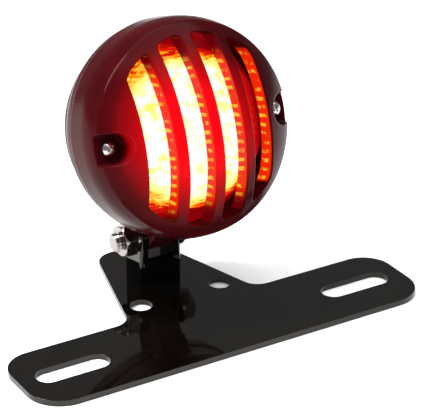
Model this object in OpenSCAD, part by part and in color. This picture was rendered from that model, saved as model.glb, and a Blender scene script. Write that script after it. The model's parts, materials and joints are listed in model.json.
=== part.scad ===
// Tail light with a grille cover, tilting on a cross bolt above a flat T-shaped licence plate bracket.
// Millimetres. +Z is up. The lens faces -Y. The origin is on the underside of the bracket,
// midway between the two licence plate slots.

/* [Bracket plate] */
// Overall width of the cross bar
bar_length = 178; // [165:1:200]
// Distance from the slot line to the front edge of the cross bar
bar_front = 21; // [17:0.5:24]
// Distance from the slot line to the rear edge of the cross bar
bar_rear = 20; // [17:0.5:24]
// Thickness of the steel plate
plate_thickness = 2.5; // [2.4:0.1:3]
// Corner radius at the front of the cross bar
front_corner = 14.5; // [8:0.5:16]
// Corner radius at the rear of the cross bar
rear_corner = 12.5; // [8:0.5:16]
// Distance between the centres of the two licence plate slots
slot_spacing = 132; // [124:1:140]
// End-to-end length of each licence plate slot
slot_length = 31.6; // [20:0.2:34]
// Width of each licence plate slot
slot_width = 10.8; // [6.4:0.2:12]
// Half width of the tongue where it meets the cross bar
tongue_root = 29.8; // [28:0.2:34]
// Distance from the slot line to the rear end of the tongue
tongue_end = 78; // [76:0.5:82]
// Distance between the two mounting holes in the tongue
hole_spacing = 37.6; // [34:0.2:40]
// Distance from the slot line to the mounting holes
hole_row = 30.3; // [28:0.1:34]
// Diameter of the mounting holes
hole_diameter = 9.4; // [6.4:0.2:10]

/* [Pivot] */
// Height of the pivot bolt above the top of the plate
pivot_height = 19; // [18.6:0.2:20]
// Distance from the slot line to the pivot bolt
pivot_row = 52; // [51:0.5:54]
// Outside width of the clevis
clevis_width = 19.2; // [19:0.2:20]
// Tilt of the lamp, front face up
rest_tilt = 18.6; // [16:0.2:20]

/* [Lamp] */
// Outside diameter of the grille cover
cover_diameter = 88.8; // [88:0.2:90]
// Width of the bars between the slots
bar_width = 4.4; // [3.6:0.2:5]
// Width of the slots between the bars
gap_width = 10.6; // [9.8:0.2:11]
// Radius of the circle that ends the grille slots
slot_circle = 37.8; // [34:0.2:38]

/* [Part shown] */
// Piece to draw, or all of them

/* [Hidden] */

$fn = 96;
eps = 0.01;

// Bracket tongue: slanted sides tangent to rounded rear corners and to fillets at the cross bar
tongue_slope = 0.272;
tongue_corner = 9;
root_fillet = 8;
side_length = sqrt(1 + tongue_slope * tongue_slope);
side_nx = 1 / side_length;
side_ny = tongue_slope / side_length;
side_offset = side_nx * tongue_root + side_ny * bar_rear;
corner_y = tongue_end - tongue_corner;
corner_x = (side_offset - tongue_corner - side_ny * corner_y) / side_nx;
fillet_y = bar_rear + root_fillet;
fillet_x = (side_offset + root_fillet - side_ny * fillet_y) / side_nx;

// Clevis
clevis_front = pivot_row - 6.6;
clevis_depth = 13.6;
ear_thickness = 3;
ear_radius = 6.8;
clevis_base = 4;
web_thickness = 2.6;
pivot_z = plate_thickness + pivot_height;
web_top = pivot_z - 9;
bolt_radius = 4;
lock_washer_radius = 6.2;
flat_washer_radius = 7.6;
washer_thickness = 1.4;
nut_thickness = 5.3;
nut_flats = 12.7;
bolt_end = 3.2;
bolt_head_height = 5.2;
bolt_head_flats = 13;
thread_pitch = 1.25;
thread_depth = 0.55;
running_gap = 0.05;
screw_radius = 2;
screw_head_radius = 4;
screw_head_height = 1.9;
screw_x = 4.6;
screw_y = clevis_front + 7.6;

// Lamp frame: X across, Y up the face of the lamp, Z out of the face
lamp_y = 37.6;
lamp_z = 72.7 + plate_thickness;
cover_radius = cover_diameter / 2;
wall_straight = 13.5;
ridge_radius = cover_radius - 2;
ridge_height = 20.7;
dome_radius = 59;
dome_top = 38.7;
dome_centre = dome_top - dome_radius;
bar_depth = 7.4;
cavity_radius = 38.8;
skirt_radius = 41;
skirt_depth = 4.2;
pocket_x = 37.4;
pocket_radius = 6.2;
pocket_floor = 17.8;
pocket_wall = 1.4;
boss_radius = 3.4;
machine_screw_radius = 1.5;
cover_screw_hole = 1.7;
cover_screw_head = 2.9;
cover_screw_length = 26;
inner_edge = bar_width / 2;
slot_x = [
    [-inner_edge - 2 * gap_width - bar_width, -inner_edge - gap_width - bar_width],
    [-inner_edge - gap_width, -inner_edge],
    [inner_edge, inner_edge + gap_width],
    [inner_edge + gap_width + bar_width, inner_edge + 2 * gap_width + bar_width]
];
slot_round = 2.2;

// Housing bucket
rim_radius = 43.2;
rim_front = -1.2;
rim_depth = 4;
back_s = -26;
taper_s = -21.5;
taper_radius = 36.6;
back_radius = 30;
wall = 2.6;
rim_inner = 36;
// Centre of the pivot seen in the lamp frame
pivot_dy = pivot_row - lamp_y;
pivot_dz = pivot_z - lamp_z;
pivot_s = -cos(rest_tilt) * pivot_dy + sin(rest_tilt) * pivot_dz;
pivot_v = sin(rest_tilt) * pivot_dy + cos(rest_tilt) * pivot_dz;
lug_width = 12.8;
lug_radius = 6.4;
// Points on the bucket that the leg's front and rear lines run to
leg_front_v = -40;
leg_front_s = -5;
leg_rear_v = -26;
leg_rear_s = -24;
bush_radius = 5.2;
column_back = -14;
grommet_v = 12;
grommet_radius = 5;
grommet_bore = 2.7;
vent_v = -16;
vent_radius = 2.5;

// Lens
lens_seat = 1;
lens_flange = 2.2;
lens_dome_radius = 50;
lens_top = 30.2;
lens_wall = 2.4;
lens_skirt = 31.6;
scallop_radius = pocket_radius + pocket_wall + 0.6;

// Light engine
board_front = -2.6;
board_thickness = 1.6;
board_radius = 30;
led_radius = 2.5;
cup_radius = 3.3;
// Each ring of lamps: how many, ring radius, angle of the first
led_rings = [[1, 0, 0], [6, 9, 15], [12, 18, 0], [15, 26, 117]];
standoff_ring = 21.9;
standoff_angles = [105, 225, 345];
standoff_pad_height = 2.4;

RED = [0.75, 0.02, 0.03];
BLACK = [0.03, 0.03, 0.035];
SILVER = [0.78, 0.78, 0.8];

module in_lamp() {
    translate([0, lamp_y, lamp_z])
        rotate([90 - rest_tilt, 0, 0])
            children();
}

// Cylinder along X from x0 to x1
module along_x(radius, x0, x1) {
    translate([x0, 0, 0])
        rotate([0, 90, 0])
            cylinder(r = radius, h = x1 - x0);
}

module at_pivot() {
    translate([0, pivot_row, pivot_z])
        children();
}

// ---------------------------------------------------------------- bracket

module bar_outline() {
    half = bar_length / 2;
    for (side = [-1, 1]) {
        translate([side * (half - front_corner), -bar_front + front_corner])
            circle(r = front_corner);
        translate([side * (half - rear_corner), bar_rear - rear_corner])
            circle(r = rear_corner);
    }
    polygon([
        [-half + front_corner, -bar_front], [half - front_corner, -bar_front],
        [half, -bar_front + front_corner], [half, bar_rear - rear_corner],
        [half - rear_corner, bar_rear], [-half + rear_corner, bar_rear],
        [-half, bar_rear - rear_corner], [-half, -bar_front + front_corner]
    ]);
}

module tongue_outline() {
    tip_x = corner_x + tongue_corner * side_nx;
    tip_y = corner_y + tongue_corner * side_ny;
    root_x = tongue_root + tongue_slope * 2;
    root_y = bar_rear - 2;
    polygon([
        [-root_x, root_y], [root_x, root_y], [tip_x, tip_y], [corner_x, tongue_end],
        [-corner_x, tongue_end], [-tip_x, tip_y]
    ]);
    for (side = [-1, 1])
        translate([side * corner_x, corner_y])
            circle(r = tongue_corner);
}

module root_fillets() {
    side_x = fillet_x - root_fillet * side_nx;
    side_y = fillet_y - root_fillet * side_ny;
    for (side = [0, 1])
        mirror([side, 0, 0])
            difference() {
                linear_extrude(plate_thickness)
                    polygon([
                        [tongue_root - 4, bar_rear - 1], [fillet_x, bar_rear - 1],
                        [fillet_x, bar_rear], [fillet_x, fillet_y], [side_x, side_y],
                        [side_x - 4, side_y]
                    ]);
                translate([fillet_x, fillet_y, -1])
                    cylinder(r = root_fillet, h = plate_thickness + 2);
            }
}

module plate_slot() {
    reach = (slot_length - slot_width) / 2;
    for (end = [-1, 1])
        translate([end * reach, 0, -1])
            cylinder(r = slot_width / 2, h = plate_thickness + 2);
    translate([-reach, -slot_width / 2, -1])
        cube([2 * reach, slot_width, plate_thickness + 2]);
}

module bracket_plate() {
    color(BLACK)
        difference() {
            union() {
                linear_extrude(plate_thickness)
                    bar_outline();
                linear_extrude(plate_thickness)
                    tongue_outline();
                root_fillets();
            }
            for (side = [-1, 1]) {
                translate([side * slot_spacing / 2, 0, 0])
                    plate_slot();
                translate([side * hole_spacing / 2, hole_row, -1])
                    cylinder(d = hole_diameter, h = plate_thickness + 2);
                translate([side * screw_x, screw_y, -1])
                    cylinder(r = screw_radius + 0.1, h = plate_thickness + 2);
                translate([side * screw_x, screw_y, -eps])
                    cylinder(r1 = screw_head_radius, r2 = screw_radius + 0.1, h = screw_head_height);
            }
        }
}

module clevis_plan() {
    half = clevis_width / 2;
    round = 2.2;
    back = clevis_front + clevis_depth;
    translate([-half, clevis_front + round])
        square([clevis_width, clevis_depth - round]);
    translate([-half + round, clevis_front])
        square([clevis_width - 2 * round, back - clevis_front]);
    for (side = [-1, 1])
        translate([side * (half - round), clevis_front + round])
            circle(r = round);
}

module pivot_clevis() {
    half = clevis_width / 2;
    z0 = plate_thickness;
    color(BLACK)
        difference() {
            intersection() {
                translate([0, 0, z0])
                    linear_extrude(pivot_z + ear_radius)
                        clevis_plan();
                union() {
                    translate([-half - 1, clevis_front - 1, z0])
                        cube([clevis_width + 2, clevis_depth + 2, pivot_z - z0]);
                    at_pivot()
                        along_x(ear_radius, -half - 1, half + 1);
                }
            }
            translate([-half + ear_thickness, clevis_front + web_thickness, z0 + clevis_base])
                cube([clevis_width - 2 * ear_thickness, clevis_depth, pivot_z + ear_radius]);
            translate([-half + ear_thickness, clevis_front - 1, web_top])
                cube([clevis_width - 2 * ear_thickness, clevis_depth + 2, pivot_z + ear_radius]);
            at_pivot()
                along_x(bolt_radius + running_gap, -half - 1, half + 1);
            for (side = [-1, 1])
                translate([side * screw_x, screw_y, z0 - 1])
                    cylinder(r = screw_radius, h = clevis_base + 2);
        }
}

module clevis_screws() {
    color(SILVER)
        for (side = [-1, 1])
            translate([side * screw_x, screw_y, 0])
                difference() {
                    union() {
                        translate([0, 0, 0.1])
                            cylinder(
                                r1 = screw_head_radius - 0.15, r2 = screw_radius,
                                h = screw_head_height - 0.12
                            );
                        translate([0, 0, 0.1])
                            cylinder(r = screw_radius, h = plate_thickness + clevis_base - 0.4);
                    }
                    translate([0, 0, -0.5])
                        cylinder(d = 2.9, h = 2, $fn = 6);
                }
}

// ---------------------------------------------------------------- pivot hardware

module thread_ridges(x0, x1) {
    count = floor((x1 - x0) / thread_pitch);
    root = bolt_radius - thread_depth;
    for (turn = [0 : count - 1])
        translate([x0 + turn * thread_pitch, 0, 0])
            rotate([0, 90, 0]) {
                cylinder(r1 = root, r2 = bolt_radius, h = thread_pitch / 2);
                translate([0, 0, thread_pitch / 2])
                    cylinder(r1 = bolt_radius, r2 = root, h = thread_pitch / 2);
            }
}

module pivot_bolt() {
    half = clevis_width / 2;
    head_start = half + washer_thickness;
    nut_face = half + washer_thickness + nut_thickness;
    color(SILVER)
        at_pivot() {
            along_x(bolt_radius, -nut_face, head_start);
            along_x(bolt_radius - thread_depth, -nut_face - bolt_end, -nut_face);
            thread_ridges(-nut_face - bolt_end, -nut_face);
            translate([head_start, 0, 0])
                rotate([0, 90, 0])
                    intersection() {
                        cylinder(d = bolt_head_flats / cos(30), h = bolt_head_height, $fn = 6);
                        cylinder(r1 = 11, r2 = 6.6, h = bolt_head_height);
                    }
        }
}

module pivot_nut() {
    nut_face = clevis_width / 2 + washer_thickness + nut_thickness;
    color(SILVER)
        at_pivot()
            difference() {
                translate([-nut_face, 0, 0])
                    rotate([12, 0, 0])
                        rotate([0, 90, 0])
                            intersection() {
                                cylinder(d = nut_flats / cos(30), h = nut_thickness, $fn = 6);
                                cylinder(r1 = 6.3, r2 = 10.2, h = nut_thickness);
                            }
                along_x(bolt_radius, -nut_face - 1, 0);
            }
}

module lock_washer() {
    half = clevis_width / 2;
    color(SILVER)
        at_pivot()
            difference() {
                along_x(lock_washer_radius, -half - washer_thickness, -half);
                along_x(bolt_radius, -half - washer_thickness - 1, -half + 1);
                translate([-half - washer_thickness - 1, -0.6, 3])
                    rotate([14, 0, 0])
                        cube([washer_thickness + 2, 1.2, 5]);
            }
}

module flat_washer() {
    half = clevis_width / 2;
    color(SILVER)
        at_pivot()
            difference() {
                along_x(flat_washer_radius, half, half + washer_thickness);
                along_x(bolt_radius, half - 1, half + washer_thickness + 1);
            }
}

module pivot_bush() {
    reach = clevis_width / 2 - ear_thickness - 0.1;
    color([0.72, 0.6, 0.35])
        at_pivot()
            difference() {
                along_x(bush_radius, -reach, reach);
                along_x(bolt_radius + running_gap, -clevis_width, clevis_width);
            }
}

// ---------------------------------------------------------------- housing

module bucket_solid() {
    rotate_extrude()
        polygon([
            [0, back_s], [back_radius, back_s], [taper_radius, taper_s], [rim_radius, -rim_depth - 1.2],
            [rim_radius, rim_front], [0, rim_front]
        ]);
}

module bucket_cavity() {
    rotate_extrude()
        polygon([
            [0, back_s + wall], [back_radius - wall, back_s + wall], [taper_radius - wall - 0.4, taper_s + 1],
            [rim_inner + 1.8, -rim_depth - 1.2], [rim_inner + 1.8, 1], [0, 1]
        ]);
}

// Leg that leaves the bottom of the bucket and ends round the cross bolt. Its front and rear
// lines are tangents of the round end.
module leg() {
    dv = leg_front_v - pivot_v;
    ds = leg_front_s - pivot_s;
    reach = sqrt(dv * dv + ds * ds);
    front_angle = atan2(ds, dv) + acos(lug_radius / reach);
    rv = leg_rear_v - pivot_v;
    rs = leg_rear_s - pivot_s;
    rear_reach = sqrt(rv * rv + rs * rs);
    rear_angle = atan2(rs, rv) - acos(lug_radius / rear_reach);
    translate([-lug_width / 2, 0, 0])
        rotate([0, 90, 0])
            linear_extrude(lug_width)
                union() {
                    translate([-pivot_s, pivot_v])
                        circle(r = lug_radius);
                    polygon([
                        [-pivot_s - lug_radius * sin(front_angle), pivot_v + lug_radius * cos(front_angle)],
                        [-leg_front_s, leg_front_v],
                        [-leg_front_s, leg_front_v + 10],
                        [-leg_rear_s, leg_rear_v],
                        [-pivot_s - lug_radius * sin(rear_angle), pivot_v + lug_radius * cos(rear_angle)],
                        [-pivot_s, pivot_v]
                    ]);
                }
}

module screw_columns() {
    for (side = [-1, 1])
        translate([side * pocket_x, 0, column_back])
            cylinder(r = boss_radius + 0.6, h = rim_front - column_back);
}

module housing() {
    color(BLACK)
        in_lamp()
            difference() {
                union() {
                    difference() {
                        union() {
                            bucket_solid();
                            leg();
                        }
                        bucket_cavity();
                    }
                    intersection() {
                        screw_columns();
                        bucket_solid();
                    }
                    for (angle = standoff_angles)
                        rotate([0, 0, angle])
                            translate([standoff_ring, 0, back_s + wall - 0.5])
                                cylinder(r = 4, h = standoff_pad_height + 0.5);
                }
                translate([-lug_width, pivot_v, pivot_s])
                    rotate([0, 90, 0])
                        cylinder(r = bush_radius, h = 2 * lug_width);
                for (side = [-1, 1])
                    translate([side * pocket_x, 0, column_back + 2])
                        cylinder(r = machine_screw_radius, h = 14);
                for (angle = standoff_angles)
                    rotate([0, 0, angle])
                        translate([standoff_ring, 0, back_s + 1.2])
                            cylinder(r = machine_screw_radius, h = 6);
                translate([0, grommet_v, back_s - 1])
                    cylinder(r = grommet_radius, h = wall + 2);
                translate([0, vent_v, back_s - 1])
                    cylinder(r = vent_radius, h = wall + 2);
            }
}

module vent_plug() {
    color([0.2, 0.2, 0.2])
        in_lamp()
            translate([0, vent_v, back_s]) {
                translate([0, 0, -1.2])
                    cylinder(r = vent_radius + 1.5, h = 1.2);
                difference() {
                    cylinder(r = vent_radius, h = wall + 1);
                    translate([0, 0, 0.8])
                        cylinder(r = 1.2, h = wall + 1);
                }
            }
}

module wire_grommet() {
    color([0.06, 0.06, 0.06])
        in_lamp()
            translate([0, grommet_v, back_s])
                difference() {
                    union() {
                        translate([0, 0, -2.4])
                            cylinder(r = grommet_radius + 1.8, h = 2.4);
                        cylinder(r = grommet_radius, h = wall);
                        translate([0, 0, wall])
                            cylinder(r = grommet_radius + 1.2, h = 1.4);
                    }
                    translate([0, 0, -4])
                        cylinder(r = grommet_bore, h = 10);
                }
}

module cover_gasket() {
    color([0.1, 0.1, 0.1])
        in_lamp()
            difference() {
                translate([0, 0, rim_front])
                    cylinder(r = rim_radius - 0.2, h = -rim_front);
                translate([0, 0, rim_front - 1])
                    cylinder(r = 41.2, h = 4);
            }
}

// ---------------------------------------------------------------- grille cover

// Sphere about the dome's centre, with its poles turned away from the dome
module dome_sphere(radius) {
    translate([0, 0, dome_centre])
        rotate([90, 0, 0])
            sphere(r = radius, $fn = 200);
}

module cover_outside() {
    intersection() {
        union() {
            cylinder(r = cover_radius, h = wall_straight);
            translate([0, 0, wall_straight])
                cylinder(r1 = cover_radius, r2 = ridge_radius, h = ridge_height - wall_straight);
            translate([0, 0, ridge_height])
                cylinder(r = ridge_radius, h = 30);
        }
        dome_sphere(dome_radius);
    }
}

module cover_cavity() {
    translate([0, 0, -1])
        cylinder(r = skirt_radius, h = skirt_depth + 1);
    intersection() {
        cylinder(r = cavity_radius, h = 40);
        dome_sphere(dome_radius - bar_depth);
    }
}

function slot_end(x) = sqrt(slot_circle * slot_circle - x * x);

// Slot between x0 and x1: straight ends that follow the slot circle, and rounded corners
module grille_slot(x0, x1) {
    slope = (slot_end(x1) - slot_end(x0)) / (x1 - x0);
    lean = sqrt(1 + slope * slope);
    shift_x = slot_round * slope / lean;
    shift_y = slot_round / lean;
    xa = x0 + slot_round;
    xb = x1 - slot_round;
    ya = slot_end(x0) + slope * slot_round - slot_round * lean;
    yb = slot_end(x1) - slope * slot_round - slot_round * lean;
    translate([0, 0, 9])
        linear_extrude(36) {
            polygon([
                [x0, -ya], [xa - shift_x, -ya - shift_y], [xb - shift_x, -yb - shift_y], [x1, -yb],
                [x1, yb], [xb - shift_x, yb + shift_y], [xa - shift_x, ya + shift_y], [x0, ya]
            ]);
            for (side = [-1, 1]) {
                translate([xa, side * ya])
                    circle(r = slot_round);
                translate([xb, side * yb])
                    circle(r = slot_round);
            }
        }
}

// Boss under each cover screw, and the cup that forms the pocket round its head
module screw_seats() {
    intersection() {
        for (side = [-1, 1])
            translate([side * pocket_x, 0, 0]) {
                translate([0, 0, rim_front])
                    cylinder(r = boss_radius, h = pocket_floor - rim_front);
                translate([0, 0, pocket_floor - pocket_wall])
                    cylinder(r = pocket_radius + pocket_wall, h = 20);
            }
        translate([0, 0, rim_front])
            cylinder(r = cover_radius - 2.6, h = 60);
        dome_sphere(dome_radius);
    }
}

module grille_cover() {
    color(RED)
        in_lamp()
            difference() {
                union() {
                    difference() {
                        cover_outside();
                        cover_cavity();
                    }
                    screw_seats();
                }
                for (span = slot_x)
                    grille_slot(span[0], span[1]);
                for (side = [-1, 1]) {
                    translate([side * pocket_x, 0, pocket_floor])
                        cylinder(r = pocket_radius, h = 20);
                    translate([side * (pocket_x + 8) - 8, -pocket_radius, pocket_floor])
                        cube([16, 2 * pocket_radius, 20]);
                    translate([side * pocket_x, 0, rim_front - 1])
                        cylinder(r = cover_screw_hole, h = 24);
                }
            }
}

module cover_screws() {
    color(SILVER)
        in_lamp()
            for (side = [-1, 1])
                translate([side * pocket_x, 0, pocket_floor])
                    difference() {
                        union() {
                            cylinder(r = cover_screw_head, h = 1);
                            translate([0, 0, -2.1])
                                intersection() {
                                    translate([0, 0, 1])
                                        sphere(r = 3.9);
                                    translate([0, 0, 3.1])
                                        cylinder(r = cover_screw_head, h = 4);
                                }
                            translate([0, 0, -cover_screw_length])
                                cylinder(r = machine_screw_radius, h = cover_screw_length + 0.5);
                        }
                        for (turn = [0, 90])
                            rotate([0, 0, turn + 40])
                                translate([-1.7, -0.35, 1.4])
                                    cube([3.4, 0.7, 4]);
                    }
}

// ---------------------------------------------------------------- lens and light engine

// Inside or outside of the lens dome, with a scallop at each cover screw
module lens_dome(inset) {
    difference() {
        intersection() {
            translate([0, 0, lens_seat - (inset > 0 ? 1 : 0)])
                cylinder(r = lens_skirt - inset, h = 40);
            translate([0, 0, lens_top - lens_dome_radius])
                sphere(r = lens_dome_radius - inset, $fn = 160);
        }
        for (side = [-1, 1])
            translate([side * pocket_x, 0, -1])
                cylinder(r = scallop_radius + inset, h = 50);
    }
}

// Notches that clear the bosses of the grille cover
module boss_notches() {
    for (side = [-1, 1])
        translate([side * pocket_x, 0, rim_front - 1])
            cylinder(r = boss_radius + 0.4, h = 10);
}

module lens() {
    color([0.85, 0.05, 0.03])
        in_lamp()
            difference() {
                union() {
                    lens_dome(0);
                    translate([0, 0, lens_seat])
                        cylinder(r = skirt_radius - 0.4, h = lens_flange);
                }
                lens_dome(lens_wall);
                boss_notches();
            }
}

module lens_seals() {
    color([0.1, 0.1, 0.1])
        in_lamp()
            difference() {
                translate([0, 0, lens_seat + lens_flange])
                    cylinder(r = skirt_radius - 0.4, h = skirt_depth - lens_seat - lens_flange);
                cylinder(r = cavity_radius + 0.2, h = 10);
                boss_notches();
            }
}

// Each place for a lamp that is clear of the lens's scallops
module led_positions() {
    for (ring = led_rings)
        for (step = [0 : ring[0] - 1]) {
            angle = ring[2] + step * 360 / ring[0];
            x = ring[1] * cos(angle);
            y = ring[1] * sin(angle);
            if (norm([abs(x) - pocket_x, y]) > scallop_radius + lens_wall + led_radius)
                translate([x, y, 0])
                    children();
        }
}

module reflector() {
    color([0.85, 0.85, 0.82])
        in_lamp()
            difference() {
                translate([0, 0, rim_front])
                    cylinder(r = skirt_radius - 0.4, h = lens_seat - rim_front);
                led_positions()
                    translate([0, 0, rim_front - 1])
                        cylinder(r1 = led_radius, r2 = cup_radius, h = 3.4);
                boss_notches();
                for (angle = standoff_angles)
                    rotate([0, 0, angle])
                        translate([standoff_ring, 0, rim_front - 1])
                            cylinder(r = 3, h = 6);
            }
}

module led_board() {
    color([0.85, 0.87, 0.85])
        in_lamp()
            difference() {
                translate([0, 0, board_front - board_thickness])
                    cylinder(r = board_radius, h = board_thickness);
                for (angle = standoff_angles)
                    rotate([0, 0, angle])
                        translate([standoff_ring, 0, board_front - 4])
                            cylinder(r = 1.6, h = 8);
            }
}

module leds() {
    color([0.9, 0.15, 0.1])
        in_lamp()
            led_positions()
                translate([0, 0, board_front]) {
                    cylinder(r = led_radius - 0.2, h = 4.4, $fn = 32);
                    translate([0, 0, 4.4])
                        sphere(r = led_radius - 0.2, $fn = 24);
                }
}

module resistors() {
    color([0.15, 0.15, 0.16])
        in_lamp()
            for (step = [0 : 5])
                translate([-13.5 + step * 5.4, 3, board_front - board_thickness - 1])
                    cube([3.2, 6.3, 1]);
}

module driver_chip() {
    color([0.08, 0.08, 0.09])
        in_lamp()
            translate([-14, -9, board_front - board_thickness - 1.6])
                cube([6, 5, 1.6]);
}

module capacitor() {
    color([0.2, 0.2, 0.45])
        in_lamp()
            translate([-1, -8, board_front - board_thickness - 6.5])
                cylinder(r = 3.2, h = 6.5);
}

module diode() {
    color([0.12, 0.12, 0.12])
        in_lamp()
            translate([-3, 12, board_front - board_thickness - 2.2])
                cube([6, 3.6, 2.2]);
}

module terminal_block() {
    color([0.1, 0.35, 0.2])
        in_lamp()
            translate([6, -12, board_front - board_thickness - 8])
                difference() {
                    cube([10.2, 7.6, 8]);
                    for (way = [0 : 1])
                        translate([2.6 + way * 5, -1, 2.4])
                            rotate([-90, 0, 0])
                                translate([0, -0.6, 0])
                                    cylinder(r = 1.4, h = 5);
                    for (way = [0 : 1])
                        translate([2.6 + way * 5, 3.8, -1])
                            cylinder(r = 1.5, h = 2.2);
                }
}

module board_standoffs() {
    standoff_back = back_s + wall + standoff_pad_height;
    board_back = board_front - board_thickness;
    standoff_flats = 5.5;
    color([0.75, 0.6, 0.3])
        in_lamp()
            for (angle = standoff_angles)
                rotate([0, 0, angle])
                    translate([standoff_ring, 0, standoff_back]) {
                        difference() {
                            cylinder(d = standoff_flats / cos(30), h = board_back - standoff_back, $fn = 6);
                            translate([0, 0, 8])
                                cylinder(r = machine_screw_radius, h = 20);
                        }
                        translate([0, 0, -3.4])
                            cylinder(r = machine_screw_radius, h = 4);
                    }
}

module board_screws() {
    color(SILVER)
        in_lamp()
            for (angle = standoff_angles)
                rotate([0, 0, angle])
                    translate([standoff_ring, 0, board_front])
                        difference() {
                            union() {
                                cylinder(r = 2.75, h = 1.7);
                                translate([0, 0, -6])
                                    cylinder(r = machine_screw_radius, h = 6.5);
                            }
                            for (turn = [0, 90])
                                rotate([0, 0, turn])
                                    translate([-1.5, -0.3, 0.8])
                                        cube([3, 0.6, 2]);
                        }
}

bracket_plate();
pivot_clevis();
clevis_screws();
pivot_bolt();
pivot_nut();
lock_washer();
flat_washer();
pivot_bush();
housing();
vent_plug();
wire_grommet();
cover_gasket();
grille_cover();
cover_screws();
lens();
lens_seals();
reflector();
led_board();
leds();
resistors();
driver_chip();
capacitor();
terminal_block();
board_standoffs();
board_screws();
diode();
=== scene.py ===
"""Looks of a round tail light with a grille cover, on its flat licence plate bracket."""

import json
import math

import bpy
import numpy as np
from mathutils import Matrix, Vector


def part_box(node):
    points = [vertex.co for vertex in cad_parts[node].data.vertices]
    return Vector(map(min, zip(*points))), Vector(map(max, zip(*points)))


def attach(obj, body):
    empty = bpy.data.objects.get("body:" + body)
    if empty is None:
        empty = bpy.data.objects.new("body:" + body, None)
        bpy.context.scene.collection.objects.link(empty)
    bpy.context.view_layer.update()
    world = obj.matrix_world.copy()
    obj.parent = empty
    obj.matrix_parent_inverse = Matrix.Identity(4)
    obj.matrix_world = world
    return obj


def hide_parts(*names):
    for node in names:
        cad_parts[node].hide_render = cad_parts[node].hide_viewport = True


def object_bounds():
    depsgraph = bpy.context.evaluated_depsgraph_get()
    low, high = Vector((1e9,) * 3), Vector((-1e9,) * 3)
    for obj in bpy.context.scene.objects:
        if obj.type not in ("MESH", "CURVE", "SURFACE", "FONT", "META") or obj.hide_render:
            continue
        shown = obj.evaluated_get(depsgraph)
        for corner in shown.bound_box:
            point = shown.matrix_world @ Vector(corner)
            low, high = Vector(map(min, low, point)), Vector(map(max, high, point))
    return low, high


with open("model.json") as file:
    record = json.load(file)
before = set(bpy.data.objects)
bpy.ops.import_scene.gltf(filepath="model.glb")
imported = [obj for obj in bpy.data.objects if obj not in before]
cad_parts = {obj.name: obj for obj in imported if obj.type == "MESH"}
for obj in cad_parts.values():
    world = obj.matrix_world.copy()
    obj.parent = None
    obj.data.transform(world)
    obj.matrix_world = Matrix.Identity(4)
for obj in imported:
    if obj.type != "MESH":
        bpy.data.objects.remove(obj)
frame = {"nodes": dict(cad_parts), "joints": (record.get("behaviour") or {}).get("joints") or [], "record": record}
cad_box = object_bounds()
nodes = frame["nodes"]
MM = 0.001


# ---------------------------------------------------------------- the lamp's own axes

GASKET_THICKNESS = 1.2


def lamp_axes():
    """The lamp's frame in millimetres: X across, Y up the face, Z out of the lens.

    Its origin is on the lens axis, level with the cover's rear face."""
    outlet = next(m for m in frame["record"]["mounts"] if m["name"] == "wire_outlet")
    out = -Vector(outlet["axis"]).normalized()
    across = Vector((1, 0, 0))
    up = out.cross(across)
    low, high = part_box("cover_gasket")
    thickness = GASKET_THICKNESS * MM
    origin = (low + high) / 2 + out * thickness / 2
    turn = Matrix((across, up, out)).transposed().to_4x4()
    return Matrix.Translation(origin) @ turn @ Matrix.Scale(MM, 4)


LAMP = lamp_axes()
PIVOT = LAMP.inverted() @ Vector(frame["joints"][0]["pos_m"])


# ---------------------------------------------------------------- shapes from distance formulas
# A formula takes points of the lamp's frame: x across, v up the face, s out of the lens, and r
# from the lens axis. It gives a distance in millimetres, below zero inside the solid.

def round_max(a, b, radius):
    """Distance to the overlap of two solids, its edge rounded to radius."""
    corner = np.hypot(np.maximum(a + radius, 0), np.maximum(b + radius, 0))
    return np.minimum(np.maximum(a, b), -radius) + corner


def round_min(a, b, radius):
    """Distance to two solids joined, with a fillet of that radius between them."""
    return -round_max(-a, -b, radius)


def cone(r, s, front, rear):
    """Distance to the cone through two (radius, height) points."""
    along_r, along_s = front[0] - rear[0], front[1] - rear[1]
    length = math.hypot(along_r, along_s)
    return ((r - front[0]) * along_s - (s - front[1]) * along_r) / length


def rolled_corner(r, s, sharp, first, second, centre, radius):
    """sharp, with the corner between the normals first and second rolled about centre."""
    dr, ds = r - centre[0], s - centre[1]
    past_first = first[0] * ds - first[1] * dr > 0
    before_second = second[0] * ds - second[1] * dr < 0
    ahead = dr * (first[0] + second[0]) + ds * (first[1] + second[1]) > 0
    return np.where(past_first & before_second & ahead, np.hypot(dr, ds) - radius, sharp)


# ---------------------------------------------------------------- fine meshes on those formulas

SLOPE_STEP = 0.01
SETTLE_ROUNDS = 6
LEAST_STEEPNESS = 0.25
ON_SURFACE = 0.02
SHORTEST_SLOPE = 1e-6


def slopes(distance, points):
    """The way in which the distance grows at each point."""
    parts = []
    for axis in range(3):
        shift = np.zeros(3)
        shift[axis] = SLOPE_STEP
        parts.append((distance(points + shift) - distance(points - shift)) / (2 * SLOPE_STEP))
    return np.stack(parts, axis=1)


def even_mesh(name, node, voxel):
    """A CAD node's shape in the lamp's frame, with small faces of even size."""
    rough = bpy.data.objects.new(name + "_rough", nodes[node].data.copy())
    bpy.context.scene.collection.objects.link(rough)
    rough.data.transform(LAMP.inverted())
    remesh = rough.modifiers.new("even", "REMESH")
    remesh.mode = "VOXEL"
    remesh.voxel_size = voxel
    graph = bpy.context.evaluated_depsgraph_get()
    mesh = bpy.data.meshes.new_from_object(rough.evaluated_get(graph), depsgraph=graph)
    bpy.data.objects.remove(rough)
    return mesh


def read_vectors(mesh, what):
    """The mesh's vertex places or normals, one row each."""
    values = np.zeros(len(mesh.vertices) * 3)
    mesh.vertices.foreach_get(what, values)
    return values.reshape(-1, 3)


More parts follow.
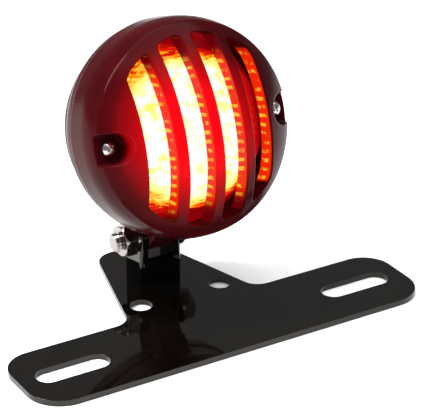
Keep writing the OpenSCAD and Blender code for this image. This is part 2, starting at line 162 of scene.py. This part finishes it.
def settle(points, distance, reach):
    """Moves the points that are within reach of the formula's surface onto it."""
    near = abs(distance(points)) < reach
    for _ in range(SETTLE_ROUNDS):
        slope = slopes(distance, points[near])
        steepness = np.maximum((slope ** 2).sum(axis=1), LEAST_STEEPNESS)
        points[near] -= slope * (distance(points[near]) / steepness)[:, None]


def exact_normals(mesh, points, distance):
    """The mesh's normals, replaced by the formula's own where a point is on its surface."""
    normals = read_vectors(mesh, "normal")
    settled = abs(distance(points)) < ON_SURFACE
    slope = slopes(distance, points[settled])
    length = np.maximum(np.linalg.norm(slope, axis=1), SHORTEST_SLOPE)
    normals[settled] = slope / length[:, None]
    return normals


def sculpt(name, node, body, distance, voxel, reach=1.2):
    """A finely meshed piece that stands for a CAD node of the lamp, shaped by the formula."""
    mesh = even_mesh(name, node, voxel)
    points = read_vectors(mesh, "co")
    settle(points, distance, reach)
    mesh.vertices.foreach_set("co", points.ravel())
    mesh.update()
    normals = exact_normals(mesh, points, distance)
    turn = np.array(LAMP.to_3x3())
    mesh.vertices.foreach_set("co", (points @ turn.T + np.array(LAMP.translation)).ravel())
    mesh.materials.clear()
    mesh.name = name
    mesh.shade_smooth()
    mesh.normals_split_custom_set_from_vertices((normals @ turn.T / MM).tolist())
    piece = bpy.data.objects.new(name, mesh)
    bpy.context.scene.collection.objects.link(piece)
    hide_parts(node)
    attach(piece, body)
    return piece


# ---------------------------------------------------------------- material building blocks

class Paint:
    """A node material, with short names for the nodes that the materials use.

    Its textures are laid out in metres on the whole object, or in the lamp's frame."""

    def __init__(self, name, on_lamp=False):
        self.material = bpy.data.materials.new(name)
        self.material.use_nodes = True
        self.tree = self.material.node_tree
        self.shader = self.tree.nodes["Principled BSDF"]
        self.place = self.add("ShaderNodeTexCoord").outputs["Object"]
        if on_lamp:
            to_lamp = LAMP.inverted()
            self.place = self.add("ShaderNodeMapping", {
                "Vector": self.place, "Location": to_lamp.translation,
                "Rotation": to_lamp.to_euler(), "Scale": to_lamp.to_scale()}).outputs[0]

    def add(self, kind, inputs=None, **settings):
        """A new node, its inputs fed and its settings set."""
        node = self.tree.nodes.new(kind)
        for key, value in settings.items():
            setattr(node, key, value)
        for key, value in (inputs or {}).items():
            self.feed(node.inputs[key], value)
        return node

    def feed(self, socket, value):
        """Links another node's output to the socket, or sets a plain value."""
        if isinstance(value, bpy.types.NodeSocket):
            self.tree.links.new(value, socket)
        else:
            socket.default_value = value

    def set(self, **values):
        """Sets the shader's inputs, with _ for the spaces in their names."""
        for key, value in values.items():
            self.feed(self.shader.inputs[key.replace("_", " ")], value)

    def calc(self, operation, *values):
        node = self.add("ShaderNodeMath", operation=operation)
        for socket, value in zip(node.inputs, values):
            self.feed(socket, value)
        return node.outputs[0]

    def plus(self, a, b):
        return self.calc("ADD", a, b)

    def minus(self, a, b):
        return self.calc("SUBTRACT", a, b)

    def times(self, a, b):
        return self.calc("MULTIPLY", a, b)

    def size(self, a):
        return self.calc("ABSOLUTE", a)

    def length(self, a, b):
        """The long side of a right triangle."""
        return self.calc("SQRT", self.plus(self.times(a, a), self.times(b, b)))

    def noise(self, scale, detail=3, roughness=0.55, stretch=None):
        """Noise from 0 to 1: the larger its scale, the smaller its patches."""
        place = self.place
        if stretch:
            place = self.add("ShaderNodeMapping", {"Vector": place, "Scale": stretch}).outputs[0]
        return self.add("ShaderNodeTexNoise", {
            "Vector": place, "Scale": scale, "Detail": detail, "Roughness": roughness,
        }).outputs["Fac"]

    def between(self, value, low, high, to_low=0.0, to_high=1.0, smooth=False):
        """to_low where value is low, to_high where it is high, and in between elsewhere."""
        node = self.add("ShaderNodeMapRange", {
            "Value": value, "From Min": low, "From Max": high,
            "To Min": to_low, "To Max": to_high})
        node.interpolation_type = "SMOOTHSTEP" if smooth else "LINEAR"
        return node.outputs[0]

    def ramp(self, value, stops):
        """A colour for each value, from (value, colour) stops."""
        node = self.add("ShaderNodeValToRGB", {"Fac": value})
        elements = node.color_ramp.elements
        while len(elements) < len(stops):
            elements.new(0.5)
        for element, (position, colour) in zip(elements, stops):
            element.position = position
            element.color = (*colour, 1)
        return node.outputs["Color"]

    def mix(self, share, first, second):
        """The first colour, and the second one to the share of 0 to 1."""
        node = self.add("ShaderNodeMix", data_type="RGBA")
        self.feed(node.inputs["Factor"], share)
        colours = [i for i in node.inputs if i.type == "RGBA"]
        for socket, value in zip(colours, (first, second)):
            is_linked = isinstance(value, bpy.types.NodeSocket)
            self.feed(socket, value if is_linked else (*value, 1))
        return next(o for o in node.outputs if o.type == "RGBA")

    def bump(self, height, depth):
        """Bump of that depth in metres from a height of 0 to 1."""
        node = self.add("ShaderNodeBump", {"Strength": 1.0, "Distance": depth, "Height": height})
        self.feed(self.shader.inputs["Normal"], node.outputs[0])


def lamp_places(paint):
    """The lamp's x, v, s and r at a point of a material laid out on the lamp."""
    x, v, s = paint.add("ShaderNodeSeparateXYZ", {"Vector": paint.place}).outputs
    return x, v, s, paint.length(x, v)


def spread(paint, x, v, centre, squeeze=(1.0, 1.0)):
    """Distance from a centre on the lamp's face, squeezed across and along."""
    return paint.length(
        paint.times(paint.minus(x, centre[0]), squeeze[0]),
        paint.times(paint.minus(v, centre[1]), squeeze[1]))


# ---------------------------------------------------------------- grille cover

cover_low, cover_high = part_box("grille_cover")
COVER_RADIUS = (cover_high.x - cover_low.x) / 2 / MM
COVER_TOP = 38.7
COVER_REAR_EDGE = 0.4
RIM_FRONT = -1.2
# The side is straight to SIDE_HEIGHT, then leans in to the ridge, where the dome starts.
SIDE_HEIGHT = 13.5
SIDE_ROLL = 30
RIDGE = (COVER_RADIUS - 2, 20.7)
RIDGE_ROLL = 4
DOME_RADIUS = 59
DOME_CENTRE = COVER_TOP - DOME_RADIUS
# The cavity behind the bars is open to the rear through the wider skirt.
BAR_DEPTH = 7.4
CAVITY_RADIUS = 38.8
CAVITY_CORNER = 0.8
CAVITY_EDGE = 0.2
SKIRT = (41, 4.2)
BAR_WIDTH = 4.4
GAP_WIDTH = 10.6
SLOT_CIRCLE = 37.8
SLOT_CORNER = 2.2
SLOT_EDGE = 0.55
SLOT_REAR = 9
SCREW_X = 37.4
SCREW_HOLE_RADIUS = 1.7
POCKET_RADIUS = 6.2
POCKET_FLOOR = 17.8
POCKET_CORNER = 1.2
POCKET_EDGE = 0.5
POCKET_WALL = 1.4
BOSS_RADIUS = 3.4


def slot_distance(x, v):
    """Distance to the nearest of the four slots, seen from the front."""
    inner = BAR_WIDTH / 2 + GAP_WIDTH / 2
    outer = inner + GAP_WIDTH + BAR_WIDTH
    sides = np.minimum(abs(abs(x) - inner), abs(abs(x) - outer)) - GAP_WIDTH / 2
    return round_max(sides, np.hypot(x, v) - SLOT_CIRCLE, SLOT_CORNER)


def ridge_roll_centre(lean):
    """Centre of the arc between the leaning side, whose normal is lean, and the dome."""
    start = (RIDGE[0] - RIDGE_ROLL * lean[0], RIDGE[1] - RIDGE_ROLL * lean[1] - DOME_CENTRE)
    along = start[1] * lean[0] - start[0] * lean[1]
    short = (DOME_RADIUS - RIDGE_ROLL) ** 2 - start[0] ** 2 - start[1] ** 2
    back = math.sqrt(along * along + short) - along
    return start[0] - back * lean[1], start[1] + back * lean[0] + DOME_CENTRE


def outline_distance(r, s, dome):
    """Distance to the cover's turned outline: side, lean and dome, all flowing together."""
    run, rise = COVER_RADIUS - RIDGE[0], RIDGE[1] - SIDE_HEIGHT
    length = math.hypot(run, rise)
    lean = (rise / length, run / length)
    leaning = cone(r, s, RIDGE, (COVER_RADIUS, SIDE_HEIGHT))
    sharp = np.maximum(np.maximum(r - COVER_RADIUS, leaning), dome)
    side_centre = (COVER_RADIUS - SIDE_ROLL,
                   SIDE_HEIGHT - SIDE_ROLL * (1 - lean[0]) / lean[1])
    rolled = rolled_corner(r, s, sharp, (1, 0), lean, side_centre, SIDE_ROLL)
    centre = ridge_roll_centre(lean)
    inner_dome = DOME_RADIUS - RIDGE_ROLL
    dome_normal = (centre[0] / inner_dome, (centre[1] - DOME_CENTRE) / inner_dome)
    return rolled_corner(r, s, rolled, lean, dome_normal, centre, RIDGE_ROLL)


def cover_distance(points):
    """Distance to the cover: a shell with slots, and two screw pockets in its rim."""
    x, v, s = points.T
    r = np.hypot(x, v)
    dome = np.sqrt(r * r + (s - DOME_CENTRE) ** 2) - DOME_RADIUS
    outside = round_max(outline_distance(r, s, dome), -s, COVER_REAR_EDGE)
    inside = round_max(r - CAVITY_RADIUS, dome + BAR_DEPTH, CAVITY_CORNER)
    skirt = np.maximum(r - SKIRT[0], s - SKIRT[1])
    shell = round_max(outside, -np.minimum(inside, skirt), CAVITY_EDGE)
    from_screw = np.hypot(abs(x) - SCREW_X, v)
    cup = np.maximum(from_screw - POCKET_RADIUS - POCKET_WALL, POCKET_FLOOR - POCKET_WALL - s)
    boss = np.maximum(np.maximum(from_screw - BOSS_RADIUS, RIM_FRONT - s), s - POCKET_FLOOR)
    body = np.minimum(np.minimum(shell, np.maximum(cup, outside)), boss)
    body = round_max(body, -np.maximum(slot_distance(x, v), SLOT_REAR - s), SLOT_EDGE)
    open_to_side = np.where(abs(x) > SCREW_X, abs(v), from_screw) - POCKET_RADIUS
    pocket = round_max(open_to_side, POCKET_FLOOR - s, POCKET_CORNER)
    body = round_max(body, -pocket, POCKET_EDGE)
    return np.maximum(body, SCREW_HOLE_RADIUS - from_screw)


SLOTS_END = 1.5 * BAR_WIDTH + 2 * GAP_WIDTH
# Each pair below is where a painted light or an area has faded to nothing, and where it is full.
# The painted red glow on the face, the lamp's light spilled on it, by the distance from its middle and by height.
GLOW_MIDDLE = (-8, 1)
GLOW_SQUEEZE = (0.85, 0.78)
GLOW_FADE = (31, 9)
GLOW_RISE = (17, 27)
# The slots' walls, by depth under the face, by radius and by distance from the middle bar.
WALL_TOP = (0.5, 1.2)
WALL_ENDS = (SLOT_CIRCLE + 0.8, SLOT_CIRCLE + 0.4)
WALL_SIDES = (SLOTS_END + 1, SLOTS_END + 0.5)
# The light painted on the walls, the lens's light falling on them, by distance up or down from its middle.
WALL_LIGHT_V = -1
WALL_LIGHT_FADE = (32, 24)
# The row of painted beads on each wall, reflections of the LEDs, by depth under the face. Noise bends and dims the
# row.
BEAD_PITCH = 3.6
BEAD_BEND = 5
BEADS_TOP = (1.6, 3.6)
BEADS_BOTTOM = (7.6, 6.2)


def painted_face_glow(paint, x, v, s):
    """Painted red glow on the cover's face: the lamp's light spilled on the paint, painted as emission, brightest
    left of the middle and none on the side.
    """
    from_middle = spread(paint, x, v, GLOW_MIDDLE, GLOW_SQUEEZE)
    front = paint.between(s, *GLOW_RISE, smooth=True)
    glow = paint.times(paint.between(from_middle, *GLOW_FADE), front)
    return paint.ramp(glow, [
        (0.0, (0, 0, 0)), (0.2, (0.06, 0, 0.0003)),
        (0.5, (0.40, 0, 0.001)), (0.85, (1.0, 0, 0.004))])


def painted_bead_light(paint, v, depth, lit_length):
    """How bright the painted beads are that climb a slot's wall, 0 to 1: reflections of the LEDs, painted as
    emission.
    """
    bends = paint.times(paint.noise(0.12, 3), BEAD_BEND)
    turns = paint.plus(paint.times(v, 2 * math.pi / BEAD_PITCH), bends)
    pulse = paint.between(paint.calc("SINE", turns), 0.0, 0.8, smooth=True)
    column = paint.times(
        paint.between(depth, *BEADS_TOP, smooth=True),
        paint.between(depth, *BEADS_BOTTOM, smooth=True))
    strength = paint.between(paint.noise(0.16, 2), 0.38, 0.55)
    return paint.times(paint.times(pulse, column), paint.times(strength, lit_length))


def painted_slot_wall_light(paint, x, v, s, r):
    """Where the slots' walls are, 0 or 1, and the light painted on them: the lens's red light and the reflections
    of its LEDs.
    """
    depth = paint.minus(DOME_RADIUS, paint.length(r, paint.minus(s, DOME_CENTRE)))
    normal = paint.add("ShaderNodeTexCoord").outputs["Normal"]
    facing = paint.add("ShaderNodeSeparateXYZ", {"Vector": normal}).outputs
    sideways = paint.between(paint.size(facing["X"]), 0.75, 0.9, smooth=True)
    within = paint.times(
        paint.between(r, *WALL_ENDS),
        paint.between(paint.size(x), *WALL_SIDES))
    below_face = paint.between(depth, *WALL_TOP)
    wall = paint.times(sideways, paint.times(within, below_face))
    from_middle = paint.size(paint.minus(v, WALL_LIGHT_V))
    lit_length = paint.between(from_middle, *WALL_LIGHT_FADE, smooth=True)
    # Painted light: full red where the lens lights the walls, darker towards the slots' ends.
    red = paint.ramp(lit_length, [(0.0, (0.10, 0.0, 0.002)), (1.0, (0.85, 0.02, 0.0))])
    return wall, paint.mix(painted_bead_light(paint, v, depth, lit_length), red, (1.0, 0.52, 0.03))


def cover_paint():
    """Deep red paint, with the lamp's glow painted on it as emission, on its face and on the slots' walls."""
    paint = Paint("red_paint_with_painted_glow", on_lamp=True)
    x, v, s, r = lamp_places(paint)
    glow = painted_face_glow(paint, x, v, s)
    wall, wall_light = painted_slot_wall_light(paint, x, v, s, r)
    cloud = paint.noise(0.06, 4)
    dark, light = (0.028, 0.0012, 0.0022), (0.042, 0.0020, 0.0035)
    paint.set(
        Base_Color=paint.ramp(cloud, [(0.3, dark), (0.75, light)]),
        Roughness=paint.between(cloud, 0.3, 0.7, 0.17, 0.22),
        IOR=1.13,
        Specular_Tint=(1.0, 0.55, 0.52, 1),
        # The emission is painted light: the lamp's glow on the face, and its light and reflections on the slots'
        # walls.
        Emission_Color=paint.mix(wall, glow, wall_light),
        Emission_Strength=1.0,
    )
    paint.bump(paint.noise(0.9, 2), 0.00001)
    return paint.material


def make_cover():
    cover = sculpt("domed_cover", "grille_cover", "lamp", cover_distance, voxel=0.6)
    cover.data.materials.append(cover_paint())


# ---------------------------------------------------------------- bucket and its leg

RIM_RADIUS = 43.2
# The bucket's outline as (radius, height) points, from its rim to its flat back.
SHOULDER = (RIM_RADIUS, -5.2)
SHOULDER_ROUND = 5
TAPER = (36.6, -21.5)
TAPER_ROUND = 8
BACK = -26
BACK_RADIUS = 30
BACK_ROUND = 5
LEG_WIDTH = 12.8
LEG_RADIUS = 6.4
LEG_TOP = (-30, -14)
LEG_TOP_RADIUS = 11
LEG_EDGE = 1.2
LEG_FILLET = 2.5
BUSH_RADIUS = 5.2
BUSH_EDGE = 0.4
GROMMET_V = 12
GROMMET_RADIUS = 5
GROMMET_EDGE = 0.3
VENT_V = -16
VENT_RADIUS = 2.5
VENT_EDGE = 0.2


def leg_distance(x, v, s):
    """Distance to the leg: two circles and their tangents, LEG_WIDTH thick."""
    dv, ds = LEG_TOP[0] - PIVOT.y, LEG_TOP[1] - PIVOT.z
    reach = math.hypot(dv, ds)
    along = ((v - PIVOT.y) * dv + (s - PIVOT.z) * ds) / reach
    away = abs((v - PIVOT.y) * ds - (s - PIVOT.z) * dv) / reach
    lean = (LEG_RADIUS - LEG_TOP_RADIUS) / reach
    upright = math.sqrt(1 - lean * lean)
    beside = along * upright - away * lean
    low_end = np.hypot(along, away) - LEG_RADIUS
    top_end = np.hypot(along - reach, away) - LEG_TOP_RADIUS
    edge = away * upright + along * lean - LEG_RADIUS
    outline = np.where(
        beside < 0, low_end, np.where(beside > reach * upright, top_end, edge))
    return round_max(outline, abs(x) - LEG_WIDTH / 2, LEG_EDGE)


def housing_distance(points):
    """Distance to the bucket and its leg, with the holes for the bush, grommet and vent."""
    x, v, s = points.T
    r = np.hypot(x, v)
    side = round_max(r - RIM_RADIUS, cone(r, s, SHOULDER, TAPER), SHOULDER_ROUND)
    side = round_max(side, cone(r, s, TAPER, (BACK_RADIUS, BACK)), TAPER_ROUND)
    bucket = round_max(side, BACK - s, BACK_ROUND)
    outside = round_min(bucket, leg_distance(x, v, s), LEG_FILLET)
    bush = BUSH_RADIUS - np.hypot(v - PIVOT.y, s - PIVOT.z)
    outside = round_max(outside, bush, BUSH_EDGE)
    outside = np.maximum(outside, s - RIM_FRONT)
    grommet = GROMMET_RADIUS - np.hypot(x, v - GROMMET_V)
    outside = round_max(outside, grommet, GROMMET_EDGE)
    vent = VENT_RADIUS - np.hypot(x, v - VENT_V)
    return round_max(outside, vent, VENT_EDGE)


def housing_paint():
    """The same deep red paint as the cover's, without its painted glow."""
    paint = Paint("deep_red_paint", on_lamp=True)
    cloud = paint.noise(0.06, 4)
    dark, light = (0.028, 0.0022, 0.0032), (0.042, 0.0030, 0.0045)
    paint.set(
        Base_Color=paint.ramp(cloud, [(0.3, dark), (0.75, light)]),
        Roughness=paint.between(cloud, 0.3, 0.7, 0.26, 0.36),
        IOR=1.25,
    )
    paint.bump(paint.noise(0.9, 2), 0.00001)
    return paint.material


def make_bucket():
    bucket = sculpt("lamp_bucket", "housing", "lamp", housing_distance, voxel=0.6)
    bucket.data.materials.append(housing_paint())


# ---------------------------------------------------------------- lens with its fine ribs

LENS_RADIUS = 50
LENS_TOP = 30.2
LENS_CENTRE = LENS_TOP - LENS_RADIUS
LENS_SIDE = 31.6
LENS_EDGE = 1.2
RIB_PITCH = 1.5
RIB_HEIGHT = 0.12
SCALLOP_RADIUS = POCKET_RADIUS + POCKET_WALL + 0.6
SCALLOP_EDGE = 0.6
# The light is centred on CORE_MIDDLE and falls off faster past DIM_SIDE_X. Patches, grain
# and ribs move its edge in and out by these lengths.
CORE_MIDDLE = (-3, 0)
CORE_FADE = (28, 24)
EDGE_COLOURS = (23.5, 34.5)
DIM_SIDE_X = 15
DIM_SIDE_STEEPNESS = 0.75
PATCH_SHIFT = 9
GRAIN_SHIFT = 1.5
RIB_SHIFT = 0.4


def lens_distance(points):
    """Distance to the lens: a ribbed dome, scalloped to clear the cover's screw pockets."""
    x, v, s = points.T
    r = np.hypot(x, v)
    dome = np.sqrt(r * r + (s - LENS_CENTRE) ** 2) - LENS_RADIUS
    ribbed = dome + RIB_HEIGHT * (0.5 - 0.5 * np.cos(v * 2 * math.pi / RIB_PITCH))
    scallop = SCALLOP_RADIUS - np.hypot(abs(x) - SCREW_X, v)
    return round_max(round_max(r - LENS_SIDE, ribbed, LENS_EDGE), scallop, SCALLOP_EDGE)


def lit_lens():
    """Red lens lit from behind: white and yellow over the LEDs, orange and red at its rim."""
    lens = Paint("lit_red_lens", on_lamp=True)
    x, v, _, _ = lamp_places(lens)
    from_core = spread(lens, x, v, CORE_MIDDLE)
    past_dim_side = lens.calc("MAXIMUM", lens.minus(x, DIM_SIDE_X), 0)
    dim_side = lens.times(past_dim_side, DIM_SIDE_STEEPNESS)
    patch = lens.noise(0.22, 5, roughness=0.65)
    grain = lens.noise(0.9, 2)
    ribs = lens.calc("SINE", lens.times(v, 2 * math.pi / RIB_PITCH))
    uneven = lens.times(lens.minus(patch, 0.5), PATCH_SHIFT)
    fine = lens.plus(lens.times(grain, GRAIN_SHIFT), lens.times(ribs, RIB_SHIFT))
    edge = lens.plus(lens.plus(from_core, dim_side), lens.plus(uneven, fine))
    outline = lens.ramp(lens.between(edge, *EDGE_COLOURS), [
        (0.0, (1.0, 0.97, 0.66)), (0.50, (1.0, 0.86, 0.16)), (0.66, (1.0, 0.34, 0.0)),
        (0.76, (0.62, 0.008, 0.0)), (1.0, (0.16, 0.0, 0.002)),
    ])
    yellow = lens.times(
        lens.between(patch, 0.50, 0.60, smooth=True),
        lens.between(from_core, 4, 22, to_low=0.35))
    core = lens.mix(yellow, (1.0, 1.0, 0.90), (1.0, 0.86, 0.10))
    inside = lens.between(edge, *CORE_FADE, smooth=True)
    lens.set(
        Base_Color=lens.ramp(patch, [(0.3, (0.35, 0.0, 0.0)), (0.7, (0.45, 0.01, 0.005))]),
        Roughness=lens.between(patch, 0.3, 0.8, 0.08, 0.16),
        Specular_IOR_Level=0.3,
        Emission_Color=lens.mix(inside, outline, core),
        Emission_Strength=1.1,
    )
    return lens.material


def make_lens():
    lens = sculpt("ribbed_lens", "lens", "lamp", lens_distance, voxel=0.55, reach=0.8)
    lens.data.materials.append(lit_lens())


# ---------------------------------------------------------------- bracket, hardware and light engine

# How far a CAD node's edges are rounded, in metres.
EDGE_WIDTHS = {"bracket_plate": 0.0008, "pivot_clevis": 0.0006, "pivot_nut": 0.0002}
SAME_POINT = 0.000001
FLAT_WITHIN = math.radians(0.6)
SHARP_OVER = math.radians(32)


def soften(node, width):
    """Rounds a CAD node's sharp edges, with modifiers only."""
    piece = nodes[node]
    weld = piece.modifiers.new("join_faces", "WELD")
    weld.merge_threshold = SAME_POINT
    flat = piece.modifiers.new("clean_flats", "DECIMATE")
    flat.decimate_type = "DISSOLVE"
    flat.angle_limit = FLAT_WITHIN
    bevel = piece.modifiers.new("soft_edges", "BEVEL")
    bevel.width = width
    bevel.segments = 3
    bevel.limit_method = "ANGLE"
    bevel.angle_limit = SHARP_OVER
    flatten = piece.modifiers.new("flat_faces_stay_flat", "WEIGHTED_NORMAL")
    flatten.weight = 100
    piece.data.shade_smooth()


def black_gloss():
    """Thick black powder coat: a soft orange peel, and a little haze over the sheet."""
    paint = Paint("black_gloss_paint")
    haze = paint.noise(45, 5)
    dark, light = (0.0010, 0.0008, 0.0006), (0.0030, 0.0025, 0.0020)
    paint.set(
        Base_Color=paint.ramp(haze, [(0.3, dark), (0.75, light)]),
        Roughness=paint.between(haze, 0.3, 0.7, 0.02, 0.06),
        Specular_IOR_Level=0.40,
        Specular_Tint=(1.0, 0.95, 0.88, 1),
    )
    paint.bump(paint.noise(260, 2), 0.000006)
    return paint.material


def bright_steel(name, tint):
    """Zinc or nickel plating with fine turning marks and patches of haze."""
    metal = Paint(name)
    patches = metal.noise(320, 4)
    marks = metal.noise(260, 3, stretch=(14, 1, 1))
    worn = metal.plus(patches, metal.times(marks, 0.4))
    hazy_tint = [0.78 * t for t in tint]
    metal.set(
        Base_Color=metal.mix(patches, hazy_tint, tint),
        Metallic=1.0,
        Roughness=metal.between(worn, 0.4, 1.0, 0.12, 0.30),
    )
    metal.bump(marks, 0.00001)
    return metal.material


def bronze():
    """Sintered bronze with an open grain."""
    metal = Paint("sintered_bronze")
    grain = metal.noise(2200, 3)
    metal.set(
        Base_Color=metal.ramp(grain, [(0.3, (0.30, 0.17, 0.06)), (0.7, (0.55, 0.36, 0.16))]),
        Metallic=1.0,
        Roughness=metal.between(grain, 0.3, 0.7, 0.3, 0.55),
    )
    metal.bump(grain, 0.00003)
    return metal.material


def rubber():
    """Moulded black rubber, with a dusty bloom."""
    skin = Paint("black_rubber")
    bloom = skin.noise(140, 4)
    grain = skin.noise(3500, 2)
    dark, light = (0.012, 0.012, 0.013), (0.035, 0.033, 0.032)
    skin.set(
        Base_Color=skin.ramp(bloom, [(0.35, dark), (0.7, light)]),
        Roughness=skin.between(grain, 0.3, 0.7, 0.6, 0.85),
    )
    skin.bump(grain, 0.00004)
    return skin.material


def plain_part(name, dark, light, rough):
    """A small moulded or printed part inside the lamp: two close tones, and a fine grain."""
    part = Paint(name)
    tone = part.noise(260, 3)
    grain = part.noise(1400, 2)
    part.set(
        Base_Color=part.ramp(tone, [(0.3, dark), (0.7, light)]),
        Roughness=part.between(grain, 0.3, 0.7, rough, rough + 0.15),
    )
    part.bump(grain, 0.00002)
    return part.material


def paint_nodes(material, *names):
    """Gives CAD nodes a material in place of their own."""
    for name in names:
        slots = nodes[name].data.materials
        slots.clear()
        slots.append(material)


def finish_bracket():
    for node, width in EDGE_WIDTHS.items():
        soften(node, width)
    paint_nodes(black_gloss(), "bracket_plate", "pivot_clevis")


def finish_hardware():
    zinc = bright_steel("bright_zinc", (0.34, 0.30, 0.29))
    paint_nodes(zinc, "pivot_bolt", "pivot_nut", "lock_washer", "flat_washer", "clevis_screws")
    nickel = bright_steel("bright_nickel", (0.66, 0.58, 0.57))
    paint_nodes(nickel, "cover_screws", "board_screws")
    paint_nodes(bronze(), "pivot_bush", "board_standoffs")
    paint_nodes(rubber(), "vent_plug", "wire_grommet", "cover_gasket", "lens_seals")


def finish_light_engine():
    white = plain_part("white_reflector", (0.78, 0.78, 0.75), (0.88, 0.88, 0.86), 0.15)
    paint_nodes(white, "reflector")
    board = plain_part("circuit_board", (0.70, 0.73, 0.70), (0.82, 0.84, 0.82), 0.35)
    paint_nodes(board, "led_board")
    epoxy = plain_part("led_epoxy", (0.75, 0.05, 0.03), (0.90, 0.12, 0.08), 0.1)
    paint_nodes(epoxy, "leds")
    black = plain_part("black_component", (0.015, 0.015, 0.017), (0.04, 0.04, 0.043), 0.4)
    paint_nodes(black, "resistors", "driver_chip", "capacitor", "diode")
    green = plain_part("green_terminal", (0.02, 0.14, 0.06), (0.04, 0.22, 0.10), 0.35)
    paint_nodes(green, "terminal_block")


# ---------------------------------------------------------------- floor, light and camera

FLOOR_SIZE = 6
WORLD_STRENGTH = 0.25
CAMERA_PLACE = (-0.3827, -0.6301, 0.4183)
CAMERA_TARGET = (0.0523, 0.09205, 0.0025)
FOCAL_LENGTH = 178.8
SENSOR_WIDTH = 36


def stage_floor():
    """Pale matt floor that shines a little, so that its far parts stay white."""
    ground = Paint("pale_floor")
    cloud = ground.noise(3, 3)
    ground.set(
        Base_Color=ground.ramp(cloud, [(0.3, (0.90, 0.90, 0.90)), (0.7, (0.93, 0.93, 0.93))]),
        Roughness=0.9,
        Emission_Color=(1, 1, 1, 1),
        Emission_Strength=0.12,
    )
    return ground.material


def make_floor():
    bpy.ops.mesh.primitive_plane_add(size=FLOOR_SIZE)
    floor = bpy.context.object
    floor.name = "floor"
    floor.data.materials.append(stage_floor())


def aim(thing, place, target):
    """Adds a light or camera to the scene, at place and looking at target."""
    place, target = Vector(place), Vector(target)
    thing.location = place
    thing.rotation_euler = (target - place).to_track_quat("-Z", "Y").to_euler()
    bpy.context.scene.collection.objects.link(thing)


def soft_light(name, place, size, power):
    """A softbox of that width and height, aimed at the object's middle."""
    light = bpy.data.lights.new(name, "AREA")
    light.shape = "RECTANGLE"
    light.size, light.size_y = size
    light.energy = power
    aim(bpy.data.objects.new(name, light), place, (cad_box[0] + cad_box[1]) / 2)


def make_world():
    """Even white light from all round."""
    world = bpy.data.worlds.new("studio")
    world.use_nodes = True
    background = world.node_tree.nodes["Background"]
    background.inputs["Color"].default_value = (1, 1, 1, 1)
    background.inputs["Strength"].default_value = WORLD_STRENGTH
    bpy.context.scene.world = world
    bpy.context.scene.view_settings.view_transform = "Standard"


def make_camera():
    data = bpy.data.cameras.new("camera")
    data.lens = FOCAL_LENGTH
    data.sensor_width = SENSOR_WIDTH
    camera = bpy.data.objects.new("camera", data)
    aim(camera, CAMERA_PLACE, CAMERA_TARGET)
    bpy.context.scene.camera = camera


# ---------------------------------------------------------------- the whole scene

make_cover()
make_bucket()
make_lens()
finish_bracket()
finish_hardware()
finish_light_engine()
make_floor()
soft_light("overhead_softbox", (0.1, 0.1, 1.4), size=(1.6, 1.6), power=27)
soft_light("strip_softbox", (-0.85, 0.36, 1.3), size=(0.26, 0.9), power=40)
make_world()
make_camera()
